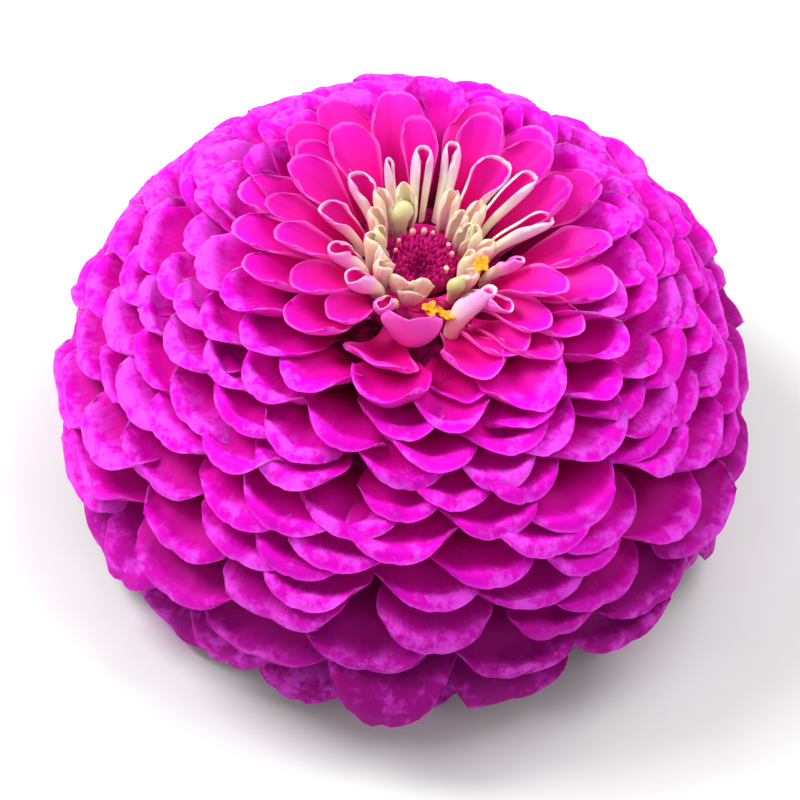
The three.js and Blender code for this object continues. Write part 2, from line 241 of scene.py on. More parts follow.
class BloomForm(bpy.types.PropertyGroup):
    """Sizes of the bloom that a user would change."""

    dome_radius: length("Dome radius", "How far the widest petals reach from the axis", 50.6 * MM)
    dome_rise: length("Dome rise", "Height of the dome above its widest level", 44 * MM)
    dome_level: length("Dome level", "Height of the dome's widest level", 12.5 * MM)
    petal_thickness: length("Petal thickness", "Thickness in the middle of a petal", 0.6 * MM)
    petal_lift: angle("Petal lift", "How far a petal stands up from the dome before its tip rolls over", 54)
    petal_curl: angle("Tip curl", "How far the outer petals roll over at the tip", 54)
    petal_wave: length("Edge wave", "How far a petal's edge waves", 0.6 * MM)
    petal_crease: length("Midrib crease", "Depth of the fold along the middle of a petal", 0.35 * MM)
    unevenness: share("Unevenness", "How far the petals stray from an even spiral", 0.6)


class BloomColours(bpy.types.PropertyGroup):
    """Colours of the bloom that a user would change."""

    # Petal root is painted shade deep in the bloom, where petals come out of the recesses; the core and the
    # crown's bed are darkened from it.
    petal_root_shade: colour("Petal root", "Deep in the bloom", 198, 0, 118)
    petal_middle: colour("Petal middle", "Where a petal comes out", 218, 0, 166)
    petal_tip: colour("Petal tip", "Most of a petal's tip", 238, 2, 208)
    # Pale violet near the tips and rims: partly the petals' own mottling, partly painted highlight where tips
    # and rims catch the light.
    petal_mottle_and_highlight: colour("Petal bloom", "Pale violet mottling and rims", 250, 86, 252)
    # Old petal: partly the skirt's faded colour, partly painted shade on the lower rows.
    petal_old_and_shade: colour("Old petal", "The skirt's petals", 132, 4, 106)
    petal_back: colour("Petal back", "Underside of a petal", 206, 30, 160)
    crown_deep: colour("Crown depth", "Where the crown's petals come out", 226, 2, 138)
    crown_face: colour("Crown face", "Inner face of the crown's petals", 234, 8, 168)
    crown_rim: colour("Crown rim", "Pale raised rims", 254, 112, 216)
    crown_back: colour("Crown back", "Outer face of the crown's petals", 250, 80, 200)
    quill: colour("Quill", "Folded inner petals", 255, 226, 242)
    cream: colour("Cream", "Young rays", 255, 240, 204)
    bud_green: colour("Bud green", "Youngest rays", 206, 210, 142)
    yellow: colour("Yellow", "Open disc florets", 255, 180, 28)
    disc_dark: colour("Disc", "Packed disc florets", 172, 12, 106)
    disc_light: colour("Disc tips", "Tips of the disc florets", 222, 30, 140)
    bead: colour("Bead", "Buds on the disc's rim", 248, 168, 172)
    scale_green: colour("Scale green", "Involucre scales", 108, 142, 62)
    scale_fringe: colour("Scale fringe", "Dark margin of the scales", 48, 34, 22)
    stem_green: colour("Stem green", "Skin of the stem", 120, 152, 72)
    pith: colour("Pith", "Cut face of the stem", 206, 214, 158)
    floor: colour("Floor", "Pale floor", 246, 246, 246)


class StageForm(bpy.types.PropertyGroup):
    """The camera and the light."""

    elevation: angle("Camera elevation", "Height of the camera over the horizon", 50.5)
    roll: angle("Camera roll", "How far the camera leans", 9.5)
    distance: length("Camera distance", "From the camera to its aim", 0.9)
    view_width: length("View width", "What the picture is wide at the aim", 0.1132)
    aim_side: length("Aim, sideways", "The aim's place across the picture", 0.0001)
    aim_height: length("Aim, height", "The aim's height on the axis", 0.0148)
    key_power: power("Key light", "Power of the key light", 3.7)
    top_power: power("Top light", "Power of the top light", 2.3)
    world: FloatProperty(name="Sky", description="Strength of the even light around", default=0.6, min=0)


def mix(a, b, t):
    return a + (b - a) * t


def smooth(low, high, value):
    t = np.clip((value - low) / (high - low), 0, 1)
    return t * t * (3 - 2 * t)


def draw(i, kind):
    """A repeatable draw from -1 to 1 for petal i, as in the solids. Kind tells one petal's draws apart."""
    x = math.sin(i * 12.9898 + kind * 78.233) * 43758.5453
    return 2 * (x - math.floor(x)) - 1


def darker(tint, strength):
    return tuple(strength * c for c in tint)


def metres(outline):
    return [(r * MM, z * MM) for r, z in outline]


# Modelling steps

def rest():
    """Nothing selected, in object mode."""
    if bpy.context.object and bpy.context.object.mode != "OBJECT":
        bpy.ops.object.mode_set(mode="OBJECT")
    for obj in list(bpy.context.selected_objects):
        obj.select_set(False)


def work_on(obj):
    rest()
    obj.select_set(True)
    bpy.context.view_layer.objects.active = obj


def apply_modifier(obj, kind, **settings):
    work_on(obj)
    modifier = obj.modifiers.new(kind.title(), kind)
    for key, value in settings.items():
        setattr(modifier, key, value)
    bpy.ops.object.modifier_apply(modifier=modifier.name)


def turned(name, outline, sides):
    """A closed body round the axis: a disc extruded and widened from each (radius, height) to the next."""
    rest()
    (radius, z), *others = outline
    bpy.ops.mesh.primitive_circle_add(vertices=sides, radius=radius, fill_type="NGON", location=(0, 0, z))
    obj = bpy.context.object
    obj.name = name
    bpy.ops.object.transform_apply(location=True)
    bpy.ops.object.mode_set(mode="EDIT")
    bpy.ops.mesh.select_all(action="SELECT")
    for next_radius, next_z in others:
        wider = next_radius / radius
        bpy.ops.mesh.extrude_region_move(TRANSFORM_OT_translate={"value": (0, 0, next_z - z)})
        bpy.ops.transform.resize(value=(wider, wider, 1), center_override=(0, 0, next_z))
        radius, z = next_radius, next_z
    return flip_outwards(obj)


def ring_body(name, outline, steps):
    """A ring round the axis, spun from a closed outline."""
    mesh = bpy.data.meshes.new(name)
    points = [(r, 0, z) for r, z in outline]
    mesh.from_pydata(points, [(k, (k + 1) % len(points)) for k in range(len(points))], [])
    obj = bpy.data.objects.new(name, mesh)
    bpy.context.collection.objects.link(obj)
    work_on(obj)
    bpy.ops.object.mode_set(mode="EDIT")
    bpy.ops.mesh.select_all(action="SELECT")
    bpy.ops.mesh.spin(steps=steps, angle=2 * math.pi, center=(0, 0, 0), axis=(0, 0, 1))
    bpy.ops.mesh.select_all(action="SELECT")
    bpy.ops.mesh.remove_doubles(threshold=0.001 * MM)
    flip_outwards(obj)
    bpy.ops.object.shade_smooth()
    return obj


def flip_outwards(obj):
    """Turns all of a closed body's faces outwards."""
    work_on(obj)
    bpy.ops.object.mode_set(mode="EDIT")
    bpy.ops.mesh.select_all(action="SELECT")
    bpy.ops.mesh.normals_make_consistent(inside=False)
    bpy.ops.object.mode_set(mode="OBJECT")
    return obj


def vertices_of(mesh):
    places = np.empty(len(mesh.vertices) * 3)
    mesh.vertices.foreach_get("co", places)
    return places.reshape(-1, 3)


def set_vertices(mesh, places):
    mesh.vertices.foreach_set("co", np.ascontiguousarray(places, dtype=np.float32).ravel())
    mesh.update()


def set_attribute(mesh, name, values):
    values = np.ascontiguousarray(values, dtype=np.float32)
    kind, field = ("FLOAT", "value") if values.ndim == 1 else ("FLOAT_VECTOR", "vector")
    found = mesh.attributes.get(name) or mesh.attributes.new(name, kind, "POINT")
    found.data.foreach_set(field, values.ravel())


def read_attribute(mesh, name):
    values = np.empty(len(mesh.vertices))
    mesh.attributes[name].data.foreach_get("value", values)
    return values


def join(name, copies):
    """The copies as one piece, smooth but at sharp edges."""
    rest()
    for obj in copies:
        obj.select_set(True)
    bpy.context.view_layer.objects.active = copies[0]
    bpy.ops.object.join()
    piece = bpy.context.object
    piece.name = piece.data.name = name
    bpy.ops.object.shade_smooth_by_angle(angle=SMOOTH_ANGLE)
    return piece


def copy_of(blank):
    obj = blank.copy()
    obj.data = blank.data.copy()
    bpy.context.collection.objects.link(obj)
    return obj


def drop(obj):
    bpy.data.meshes.remove(obj.data)


def hand_over(piece, slot, material, *nodes):
    """Gives a piece its finish and its body, and hides the parts of the nodes that it stands for."""
    piece.data.materials.clear()
    piece.data.materials.append(material)
    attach(piece, BODY)
    if nodes:
        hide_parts(*nodes)
    rest()


# Petals

class Blank(NamedTuple):
    """A flat petal, to be copied, with the place of each of its vertices."""

    obj: object
    side: np.ndarray  # across, -1 to 1 at full width
    along: np.ndarray  # 0 at the root, 1 at the tip
    layer: np.ndarray  # 0 on the face, 1 on the back
    across: np.ndarray  # across, as a share of the width there
    reach: np.ndarray  # along, before the tip is rounded


class Rib(NamedTuple):
    """A midrib in the plane of one azimuth, at shares of its own length."""

    share: np.ndarray
    r: np.ndarray
    z: np.ndarray
    lean: np.ndarray
    length: float


def petal_blank(columns, rows, claw, widest, tip_share, roundness, crowd=1.3, notch=0.012):
    """A grid narrowed to a claw at the root and rounded at the tip, then thickened."""
    rest()
    bpy.ops.mesh.primitive_grid_add(x_subdivisions=columns, y_subdivisions=rows, size=2)
    obj = bpy.context.object
    mesh = obj.data
    places = vertices_of(mesh)
    across = places[:, 0]
    reach = 1 - (1 - (places[:, 1] + 1) / 2) ** crowd
    taper = mix(1, tip_share, np.clip((reach - widest) / (1 - widest), 0, 1) ** 2)
    width = mix(claw, 1, smooth(0, widest, reach)) * taper
    edge = 1 - np.sqrt(1 - (0.98 * across) ** 2)
    # Two notches, one of them shallower, part the tip into three lobes.
    teeth = notch * (np.exp(-((across / 0.09) ** 2)) + 0.6 * np.exp(-(((across - 0.45) / 0.08) ** 2)))
    along = reach - roundness * edge * reach**3 - teeth * smooth(0.85, 1, reach)
    set_vertices(mesh, np.column_stack([across * width, along, np.zeros_like(along)]))
    set_attribute(mesh, "across", across)
    set_attribute(mesh, "reach", reach)
    apply_modifier(obj, "SOLIDIFY", thickness=1, offset=-1, use_even_offset=False, use_rim=True)
    places = vertices_of(mesh)
    across, reach = (read_attribute(mesh, name) for name in ("across", "reach"))
    return Blank(obj, places[:, 0], places[:, 1], -places[:, 2], across, reach)


def midrib(root, tip, leave, arrive, curl=0.0, curl_from=0.72, lead=0.0):
    """From root to tip, (radius, height), at given angles in degrees, with the tip then rolled over by curl.

    Lead is the length added past the tip, to make up for the roll."""
    reach = HANDLE * math.dist(root, tip)
    leave, arrive = leave * DEGREE, arrive * DEGREE
    handles = (
        root,
        (root[0] + reach * math.cos(leave), root[1] + reach * math.sin(leave)),
        (tip[0] - reach * math.cos(arrive), tip[1] - reach * math.sin(arrive)),
        tip,
    )
    t = np.linspace(0, 1, RIB_STEPS + 1)[:, None]
    weights = ((1 - t) ** 3, 3 * (1 - t) ** 2 * t, 3 * (1 - t) * t**2, t**3)
    line = sum(weight * np.array(point) for weight, point in zip(weights, handles))
    steps = np.diff(line, axis=0)
    lengths = np.hypot(steps[:, 0], steps[:, 1])
    lean = np.unwrap(np.arctan2(steps[:, 1], steps[:, 0]))
    if lead:
        lengths = np.append(lengths, lead)
        lean = np.append(lean, lean[-1])
    ends = np.concatenate([[0], np.cumsum(lengths)])
    total = ends[-1]
    middles = (ends[1:] + ends[:-1]) / 2 / total
    lean = lean - curl * smooth(curl_from, 1.02, middles)
    r = root[0] + np.concatenate([[0], np.cumsum(lengths * np.cos(lean))])
    z = root[1] + np.concatenate([[0], np.cumsum(lengths * np.sin(lean))])
    share_of = ends / total
    return Rib(share_of, r, z, np.interp(share_of, middles, lean), total)


class Shape(NamedTuple):
    """How a petal is bent across its midrib. Lengths in metres."""

    azimuth: float
    width: float
    thickness: float
    arch: float = 0.0  # sides below the midrib, or above it where negative
    roll: float = 0.0  # one side lower
    crease: float = 0.0
    fold: float = 0.0
    wave: float = 0.0
    lip: float = 0.0  # the margin turned down, or up where negative
    dish: float = 0.0  # a hollow behind the tip
    sway: float = 0.0  # the tip's turn sideways, radians
    furl: tuple = ()  # how far the sides wrap up towards each other, at the root and at the tip, radians


def dress(mesh, place, rim, traits):
    """What a petal's finish reads: its traits, and each vertex's place on it and distance from its rim."""
    set_attribute(mesh, "petal_place", np.column_stack(place))
    set_attribute(mesh, "petal_rim", rim)
    set_attribute(mesh, "petal_traits", np.tile(traits, (len(mesh.vertices), 1)))


def lay(rib, along, lift, across, turn, straight=True):
    """Places along a midrib, lifted off it and moved across it, straight across or round the axis."""
    r, z, lean = (np.interp(along, rib.share, values) for values in (rib.r, rib.z, rib.lean))
    r = r - np.sin(lean) * lift
    z = z + np.cos(lean) * lift
    if not straight:
        turn = turn - across / np.maximum(r, 4 * MM)
        across = 0
    x = r * np.cos(turn) + across * np.sin(turn)
    y = r * np.sin(turn) - across * np.cos(turn)
    return np.column_stack([x, y, z])


def bend(blank, rib, shape, seed, traits):
    """A copy of the blank, bent along its midrib."""
    free = smooth(FREE_FROM, FREE_TO, blank.reach)
    rim = np.minimum((1 - np.abs(blank.across)) * shape.width / 2, (1 - blank.reach) * rib.length * 0.8)
    thickness = shape.thickness * mix(RIM_SHARE, 1, np.sqrt(np.clip(rim / RIM_WIDTH, 0, 1)))
    side, across = blank.side, blank.side * shape.width / 2
    phase = 6.3 * draw(seed, 31)
    back = blank.layer * thickness
    furled = mix(*shape.furl, smooth(0.45, 0.95, blank.reach)) if shape.furl else 0
    wrap = blank.across * furled / 2
    ripple = np.sin(9 * blank.reach + phase + 1.7 * np.sign(side))
    lift = (
        across * wrap / 2 * np.sinc(wrap / 2 / np.pi) ** 2
        - back * np.cos(wrap)
        - shape.arch * side**2
        + shape.roll * side * free
        - shape.crease * np.exp(-((blank.across / 0.16) ** 2)) * free
        + shape.fold * np.cos(blank.across * 7.5 + phase) * free
        + shape.wave * np.abs(blank.across) ** 3 * ripple * free
        - shape.lip * (1 - smooth(0, LIP_WIDTH, rim)) * free
        - shape.dish * np.exp(-(((blank.reach - DISH_AT) / DISH_LENGTH) ** 2)) * (1 - 0.6 * side**2)
    )
    across = across * np.sinc(wrap / np.pi) + back * np.sin(wrap)
    turn = shape.azimuth + shape.sway * blank.reach**2
    places = lay(rib, np.clip(blank.along, 0, 1), lift, across, turn, bool(shape.furl))
    places[:, 2] = np.maximum(places[:, 2], (1 - blank.layer) * thickness)
    obj = copy_of(blank.obj)
    set_vertices(obj.data, places)
    dress(obj.data, (blank.across, blank.reach, blank.layer), rim / MM, traits)
    return obj


def outer_petal(blank, i, form):
    u = (i + 0.5) / OUTER_COUNT
    stray = form.unevenness
    shorter = SHORTER_PETALS.get(i, 0)
    turned_by, raised = TURNED_PETALS.get(i, (0, 0))
    degrees = TIP_TOP - TIP_EVEN * u - TIP_LATE * u**TIP_POWER + 1.3 * draw(i, 1)
    t = math.radians(degrees + 0.9 * stray * draw(i, 21) * (1 - u))
    size = 1 + 0.016 * draw(i, 2) + (0.5 * stray * draw(i, 36) - shorter) * MM / form.dome_radius
    tip = (form.dome_radius * math.cos(t) * size, form.dome_level + form.dome_rise * math.sin(t) * size)
    slope = math.atan2(form.dome_rise * math.cos(t), form.dome_radius * math.sin(t))
    arrive = form.petal_lift / DEGREE - math.degrees(slope) + 20 * stray * draw(i, 22) + raised
    if u > SKIRT_SHARE:
        v = (u - SKIRT_SHARE) / (1 - SKIRT_SHARE)
        root = (SKIRT_RADIUS, mix(SKIRT_FIRST_Z, SKIRT_LAST_Z, v))
        leave = mix(*SKIRT_LEAVE, v)
    else:
        v = u / SKIRT_SHARE
        root = (mix(CORE_FIRST[0], CORE_LAST[0], v**0.8), mix(CORE_FIRST[1], CORE_LAST[1], v**1.5))
        leave = mix(*CORE_LEAVE, v**0.75)
    curl = form.petal_curl * mix(0.45, 1, min(3 * u, 1)) * (1 + 0.5 * draw(i, 23))
    rib = midrib(root, tip, leave, arrive, curl=curl, curl_from=0.78, lead=2.2 * MM)
    azimuth = FIRST_TURN + i * GOLDEN_TURN + 0.05 * draw(i, 3) + 0.12 * stray * draw(i, 24)
    azimuth += turned_by * DEGREE
    strip = (9 + 4 * u + 3.2 * u**4) * (1 + 0.05 * draw(i, 4))
    shape = Shape(
        azimuth=azimuth,
        width=strip * (1 + 0.2 * stray * draw(i, 25)) * BLADE_BREADTH * MM,
        thickness=form.petal_thickness,
        arch=(mix(-1.9, -0.8, min(6 * u, 1)) + draw(i, 26)) * MM,
        roll=(0.35 * draw(i, 12) + 1.5 * stray * draw(i, 27)) * MM,
        crease=form.petal_crease * (0.6 + 0.4 * draw(i, 28)),
        fold=0.16 * MM * (1 + 0.5 * draw(i, 29)),
        wave=form.petal_wave * (1 + 0.6 * draw(i, 30)),
        sway=0.12 * stray * draw(i, 32),
        lip=mix(-0.2, 0.9, min(6 * u, 1)) * MM,
        dish=1.3 * MM * (1 + 0.5 * draw(i, 35)),
    )
    # Petals facing the lit side get less of the painted shade and a lighter tone: painted light.
    toward_lit_side = max(0, math.cos(azimuth - LIT_SIDE))
    return bend(blank, rib, shape, i, (u - LIT_SHARE * toward_lit_side, draw(i, 33) + toward_lit_side, 10 * draw(i, 34)))


def crown_petal(blank, ring, i):
    row = CROWN_RINGS[ring]
    degrees = row["degrees"][i]
    own = row["own"].get(degrees, {})
    row = {**row, **own}
    n = CROWN_DRAWS * ring + i
    step = 0 if own else (0.5 if i % 2 else -0.5)
    tip = (row["tip"][0] + 1.2 * step + 0.3 * draw(n, 5), row["tip"][1] - step + 0.3 * draw(n, 6))
    root = (row["root"][0] + 0.3 * step, row["root"][1])
    rib = midrib(
        *metres((root, tip)), row["leave"], row["arrive"] + 6 * draw(n, 41),
        curl=row.get("curl", 0.2 * (1 + draw(n, 42))), curl_from=row.get("curl_from", 0.75), lead=1.1 * MM,
    )
    shape = Shape(
        azimuth=degrees * DEGREE,
        width=row["width"] * (1 + 0.08 * draw(n, 7)) * MM,
        thickness=0.5 * MM,
        roll=0.5 * draw(n, 44) * MM,
        crease=0.2 * MM,
        fold=0.08 * MM,
        wave=0.3 * MM * (1 + 0.6 * draw(n, 45)),
        furl=[turn * (1 + 0.14 * draw(n, 43)) for turn in row["furl"]],
        sway=row.get("sway", 0) + 0.06 * draw(n, 46),
    )
    return bend(blank, rib, shape, n + CROWN_SEED, (row.get("white", 0.2), draw(n, 47), 10 * draw(n, 48)))


def bend_tube(blank, rib, azimuth, radius, squash=1.0, groove=0.0, traits=(0, 0, 0)):
    """A copy of an upright tube laid along a midrib. Groove sinks its upper side along the middle."""
    x, y, z = vertices_of(blank.data).T
    sunk = groove * np.exp(-((x / 0.45) ** 2)) * (y > 0) * smooth(0.25, 0.6, z)
    obj = copy_of(blank)
    set_vertices(obj.data, lay(rib, z, y * squash * radius - sunk, x * radius, azimuth))
    dress(obj.data, (x, z, y < 0), 1 - np.abs(x), traits)
    return obj


# Finishes

class Value:
    """A socket of a finish. Arithmetic on it adds Math nodes."""

    def __init__(self, finish, socket):
        self.finish = finish
        self.socket = socket

    def math(self, operation, first, second):
        return self.finish.node("Math", {0: first, 1: second}, operation=operation)

    def __add__(self, other):
        return self.math("ADD", self, other)

    def __sub__(self, other):
        return self.math("SUBTRACT", self, other)

    def __rsub__(self, other):
        return self.math("SUBTRACT", other, self)

    def __mul__(self, other):
        return self.math("MULTIPLY", self, other)

    __radd__ = __add__
    __rmul__ = __mul__

    def between(self, low, high):
        """0 at low, 1 at high, smooth between."""
        values = {"Value": self, "From Min": low, "From Max": high}
        return self.finish.node("MapRange", values, interpolation_type="SMOOTHSTEP")


class Finish:
    """A material in the making. What is even all over the surface is set on the shader's own sockets."""

    def __init__(self, name, shine=0.5, **even):
        self.material = bpy.data.materials.new(name)
        self.material.use_nodes = True
        self.tree = self.material.node_tree
        self.shader = self.tree.nodes["Principled BSDF"]
        for key, value in {"Specular_IOR_Level": shine, **even}.items():
            self.shader.inputs[key.replace("_", " ")].default_value = value

    def node(self, kind, inputs=None, output=0, **settings):
        node = self.tree.nodes.new("ShaderNode" + kind)
        for key, value in settings.items():
            setattr(node, key, value)
        for key, value in (inputs or {}).items():
            self.feed(node.inputs[key], value)
        return Value(self, node.outputs[output])

    def feed(self, socket, value):
        if isinstance(value, Value):
            self.tree.links.new(value.socket, socket)
        elif socket.type == "RGBA" and len(value) == 3:
            socket.default_value = (*value, 1)
        else:
            socket.default_value = value

    def parts(self, source):
        """The three numbers of a vector, or of the attribute of that name."""
        vector = self.attribute(source, "Vector") if isinstance(source, str) else source
        first = self.node("SeparateXYZ", {"Vector": vector})
        return [Value(self, socket) for socket in first.socket.node.outputs]

    def attribute(self, name, output="Fac"):
        return self.node("Attribute", output=output, attribute_name=name)

    def place(self):
        return self.node("TexCoord", output="Object")

    def noise(self, vector, scale, detail=2.0, roughness=0.5):
        values = {"Vector": vector, "Scale": scale, "Detail": detail, "Roughness": roughness}
        return self.node("TexNoise", values, "Fac")

    def coats(self, under, *coats):
        """A colour with coats of (share, colour) laid over it in turn."""
        for factor, tint in coats:
            under = self.node("Mix", {0: factor, 6: under, 7: tint}, 2, data_type="RGBA")
        return under

    def vector(self, x, y, z):
        return self.node("CombineXYZ", {"X": x, "Y": y, "Z": z})

    def done(self, tint, roughness, height, depth, strength=0.6):
        """The material, with a height of the given depth as relief."""
        bump = self.node("Bump", {"Height": height, "Distance": depth, "Strength": strength})
        self.feed(self.shader.inputs["Base Color"], tint)
        self.feed(self.shader.inputs["Roughness"], roughness)
        self.feed(self.shader.inputs["Normal"], bump)
        return self.material


# A skin that light shines through.
TRANSLUCENT = {"Subsurface_Weight": 0.4, "Subsurface_Radius": (1, 0.3, 0.7), "Subsurface_Scale": 1.4 * MM}


def petal_relief(finish, across, reach, seed):
    """Lengthwise veins and the fine cells of a petal, as a height."""
    lines = finish.noise(finish.vector(across * 9, reach * 1.2, seed), 1.0, 2.0, 0.6)
    cells = finish.noise(finish.place(), 2600, 1.0)
    return lines, lines * 0.75 + cells * 0.25


def outer_finish(colours):
    """Traits: a petal's place down the dome, tone, seed. The first darkens the lower rows, partly as older
    petals fading, partly as painted shade.
    """
    finish = Finish(
        "outer_petal_skin", 0.08, Sheen_Weight=0.03, Sheen_Roughness=0.45, Sheen_Tint=(1, 0.4, 0.95, 1),
        **TRANSLUCENT,
    )
    across, reach, layer = finish.parts("petal_place")
    age_and_shade, tone, seed = finish.parts("petal_traits")
    rim = finish.attribute("petal_rim")
    lines, height = petal_relief(finish, across, reach, seed)
    out = reach + (lines - 0.5) * 0.16 + tone * 0.04
    place = finish.place()
    blotch = finish.noise(place, 330, 3.0, 0.6)
    fleck = finish.noise(place, 1150, 2.0, 0.6)
    mottle = (blotch * 0.72 + fleck * 0.28 + tone * 0.045).between(0.46, 0.64)
    # Pale mottle only near the tips: partly the petals' own mottling, partly painted highlight on the lit
    # tips.
    pale = mottle * out.between(0.72, 0.95) * 0.85
    # The face darkens from the middle colour to the root colour: painted shade in the recesses where petals
    # come out from under others.
    face = finish.coats(
        colours.petal_root_shade,
        (out.between(0.42, 0.76), colours.petal_middle),
        (out.between(0.7, 0.92), colours.petal_tip),
        (pale, colours.petal_mottle_and_highlight),
        # A pale band along the rims towards the tip: painted highlight.
        ((1 - rim.between(0.0, 0.6)) * out.between(0.6, 0.85) * 0.3, colours.petal_mottle_and_highlight),
    )
    back = finish.coats(colours.petal_back, (mottle * 0.35, colours.petal_tip))
    # The back also darkens to the root colour towards the root: painted shade.
    back = finish.coats(colours.petal_root_shade, (out.between(0.2, 0.6), back))
    # Lower rows darken towards the old colour, the inner part of each face first: partly fading, partly
    # painted shade under the tips and where the dome turns down.
    skin = finish.coats(
        face,
        (layer.between(0.3, 0.7), back),
        (age_and_shade.between(0.3, 0.75) * (1 - out.between(0.65, 0.95)) * 0.35, colours.petal_old_and_shade),
        (age_and_shade.between(0.54, 0.93) * (0.92 - pale * 0.45), colours.petal_old_and_shade),
    )
    return finish.done(skin, 0.5 + blotch * 0.22, height, 0.35 * MM, 0.5)


def crown_finish(colours, quilled):
    """Traits: white share, tone, seed."""
    finish = Finish(
        "quill_skin" if quilled else "crown_petal_skin", 0.15, Sheen_Weight=0.05, Sheen_Roughness=0.4,
        Sheen_Tint=(1, 0.6, 0.9, 1), **TRANSLUCENT,
    )
    across, reach, layer = finish.parts("petal_place")
    white, tone, seed = finish.parts("petal_traits")
    rim = finish.attribute("petal_rim")
    lines, height = petal_relief(finish, across, reach, seed)
    out = reach + (lines - 0.5) * 0.14 + tone * 0.04
    pale = colours.quill if quilled else colours.crown_rim
    # Pale rims: partly the petals' own pale margin, partly painted highlight.
    rim_share = (1 - rim.between(0.05, 0.65)) * out.between(0.2, 0.6)
    if quilled:
        glow = (white * 0.5, colours.crown_deep)
    else:
        glow = (out.between(0.62, 1.02) * (0.6 + tone * 0.3), colours.petal_tip)
        rim_share = rim_share * (0.55 + tone * 0.35)
    # The face darkens towards the crown depth colour where petals come out: partly their own colour, partly
    # painted shade.
    face = finish.coats(
        colours.crown_deep, (out.between(0.25, 0.8), colours.crown_face), glow, (rim_share, pale)
    )
    back = finish.coats(
        colours.crown_back,
        ((lines * 0.6 + white * 0.7).between(0.2, 0.8), pale),
        (out.between(0.5, 1.0) * (0.6 - white * 0.55), colours.petal_tip),
    )
    if quilled:
        back = finish.coats(back, ((1 - out.between(0.3, 0.8)) * 0.8, colours.cream))
    skin = finish.coats(face, (layer.between(0.3, 0.7), back))
    return finish.done(skin, 0.46 + lines * 0.16, height, 0.25 * MM, 0.45)


def young_finish(colours):
    """Traits: green share, pink share, seed."""
    finish = Finish("young_ray_skin", 0.25, **TRANSLUCENT)
    across, reach, _ = finish.parts("petal_place")
    green, pink, seed = finish.parts("petal_traits")
    lines = finish.noise(finish.vector(across * 5, reach * 1.3, seed), 1.0, 2.0, 0.6)
    skin = finish.coats(
        colours.cream,
        (pink * 0.3, colours.bead),
        (green * reach.between(0.3, 0.9), colours.bud_green),
        (pink * (1 - reach.between(0.2, 0.9)) * 0.8, colours.quill),
        (lines.between(0.5, 0.7) * 0.5 * (pink + 0.2), colours.crown_back),
        ((1 - reach.between(0.0, 0.5)) * 0.8, colours.bead),
    )
    return finish.done(skin, 0.42 + lines * 0.2, lines, 0.2 * MM, 0.5)


def plain_finish(name, first, second, scale, low=0.4, high=0.65, rough=0.5, depth=0.15 * MM, shine=0.5):
    """Two colours mottled together, with the same pattern as relief."""
    finish = Finish(name, shine)
    pattern = finish.noise(finish.place(), scale, 3.0, 0.6)
    skin = finish.coats(first, (pattern.between(low, high), second))
    return finish.done(skin, pattern * 0.25 + (rough - 0.12), pattern, depth)


def disc_finish(colours):
    """Traits: pit share, tone."""
    finish = Finish("disc_floret_skin", 0.12)
    _, reach, _ = finish.parts("petal_place")
    pit, tone, _ = finish.parts("petal_traits")
    grain = finish.noise(finish.place(), 1800, 3.0)
    # Florets in the pit are painted darker: painted shade in the hollow.
    light = (reach * 0.5 + grain * 0.35 + tone * 0.2 - pit * 0.8 + 0.26).between(0.4, 1.15)
    skin = finish.coats(colours.disc_dark, (light, colours.disc_light))
    return finish.done(skin, 0.5 + grain * 0.2, grain, 0.08 * MM, 0.5)


def scale_finish(colours):
    """Traits: row, tone, seed."""
    finish = Finish("involucre_scale_skin", 0.3)
    across, reach, _ = finish.parts("petal_place")
    _, tone, seed = finish.parts("petal_traits")
    rim = finish.attribute("petal_rim")
    lines = finish.noise(finish.vector(across * 7, reach * 1.1, seed), 1.0, 2.0)
    fringe = 1 - (rim + (lines - 0.5) * 0.5).between(0.25, 0.6)
    skin = finish.coats(
        darker(colours.scale_green, 0.62),
        (lines.between(0.35, 0.65), colours.scale_green),
        (fringe * 0.9 * reach.between(0.3, 0.55), colours.scale_fringe),
    )
    return finish.done(skin, 0.55 + lines * 0.15 + tone * 0.02, lines, 0.2 * MM)


def stem_finish(colours):
    finish = Finish("stem_skin", 0.3)
    x, y, z = finish.parts(finish.place())
    streak = finish.noise(finish.vector(x * 1600, y * 1600, z * 160), 1.0, 2.0)
    low = 1 - z.between(0.05 * MM, 0.25 * MM)
    inside = 1 - (x * x + y * y).between((2.1 * MM) ** 2, (2.5 * MM) ** 2)
    skin = finish.coats(
        darker(colours.stem_green, 0.6),
        (streak.between(0.35, 0.65), colours.stem_green),
        (low * inside, colours.pith),
    )
    return finish.done(skin, 0.5 + streak * 0.2, streak, 0.15 * MM)


# Operators, one for each piece or group of like pieces

